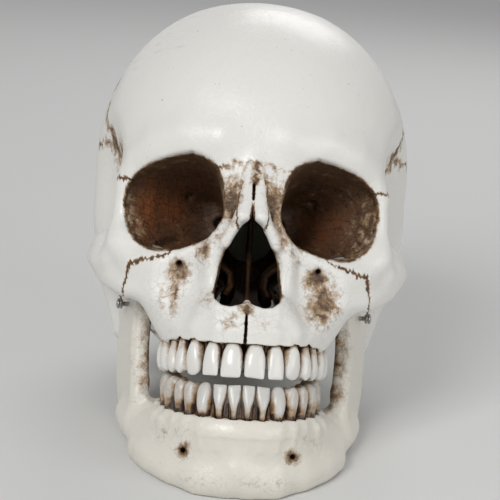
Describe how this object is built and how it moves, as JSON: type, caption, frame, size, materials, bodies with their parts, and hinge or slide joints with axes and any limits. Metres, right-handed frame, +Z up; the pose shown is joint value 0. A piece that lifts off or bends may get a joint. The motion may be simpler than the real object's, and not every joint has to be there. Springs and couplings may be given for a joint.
{
  "type": "anatomical skull model",
  "caption": "Life-size human skull model for teaching, with bones parted at their sutures, set teeth and a hinged lower jaw held by springs.",
  "frame": {"origin": "middle of the bounding box's underside, on the surface that the chin and the back of the head rest on", "axes": "+X to the skull's own left, -Y the way that the face looks, +Z up; the skull lies back on its chin and the back of its head"},
  "size_m": [0.1376, 0.2302, 0.1742],
  "materials": {
    "bone": "satin ivory resin",
    "jaw_bone": "satin ivory resin",
    "nose_inner": "brown stained resin",
    "teeth": "polished ivory resin",
    "steel": "bright spring steel"
  },
  "bodies": {
    "cranium": {"frontal_bone": "bone", "occipital_bone": "bone", "sphenoid_bone": "bone", "parietal_bone_left": "bone", "parietal_bone_right": "bone", "temporal_bone_left": "bone", "temporal_bone_right": "bone", "zygomatic_bone_left": "bone", "zygomatic_bone_right": "bone", "maxilla_left": "bone", "maxilla_right": "bone", "nasal_bone_left": "bone", "nasal_bone_right": "bone", "vomer": "nose_inner", "nasal_concha_left": "nose_inner", "nasal_concha_right": "nose_inner", "upper_central_incisor_left": "teeth", "upper_central_incisor_right": "teeth", "upper_lateral_incisor_left": "teeth", "upper_lateral_incisor_right": "teeth", "upper_canine_left": "teeth", "upper_canine_right": "teeth", "upper_first_premolar_left": "teeth", "upper_first_premolar_right": "teeth", "upper_second_premolar_left": "teeth", "upper_second_premolar_right": "teeth", "upper_first_molar_left": "teeth", "upper_first_molar_right": "teeth", "upper_second_molar_left": "teeth", "upper_second_molar_right": "teeth", "upper_third_molar_left": "teeth", "upper_third_molar_right": "teeth", "spring_screw_upper_left": "steel", "spring_screw_upper_right": "steel"},
    "lower_jaw": {"mandible": "jaw_bone", "lower_central_incisor_left": "teeth", "lower_central_incisor_right": "teeth", "lower_lateral_incisor_left": "teeth", "lower_lateral_incisor_right": "teeth", "lower_canine_left": "teeth", "lower_canine_right": "teeth", "lower_first_premolar_left": "teeth", "lower_first_premolar_right": "teeth", "lower_second_premolar_left": "teeth", "lower_second_premolar_right": "teeth", "lower_first_molar_left": "teeth", "lower_first_molar_right": "teeth", "lower_second_molar_left": "teeth", "lower_second_molar_right": "teeth", "lower_third_molar_left": "teeth", "lower_third_molar_right": "teeth", "spring_screw_lower_left": "steel", "spring_screw_lower_right": "steel", "jaw_spring_left": "steel", "jaw_spring_right": "steel"}
  },
  "joints": [
    {"name": "jaw_hinge", "type": "hinge", "parent": "cranium", "child": "lower_jaw", "pos_m": [0, -0.00177, 0.05481], "axis": [1, 0, 0], "range_deg": [0, 20], "stiffness_Nm_per_rad": 0.8, "springref_deg": -14.32, "deforming": ["jaw_spring_left", "jaw_spring_right"]}
  ]
}
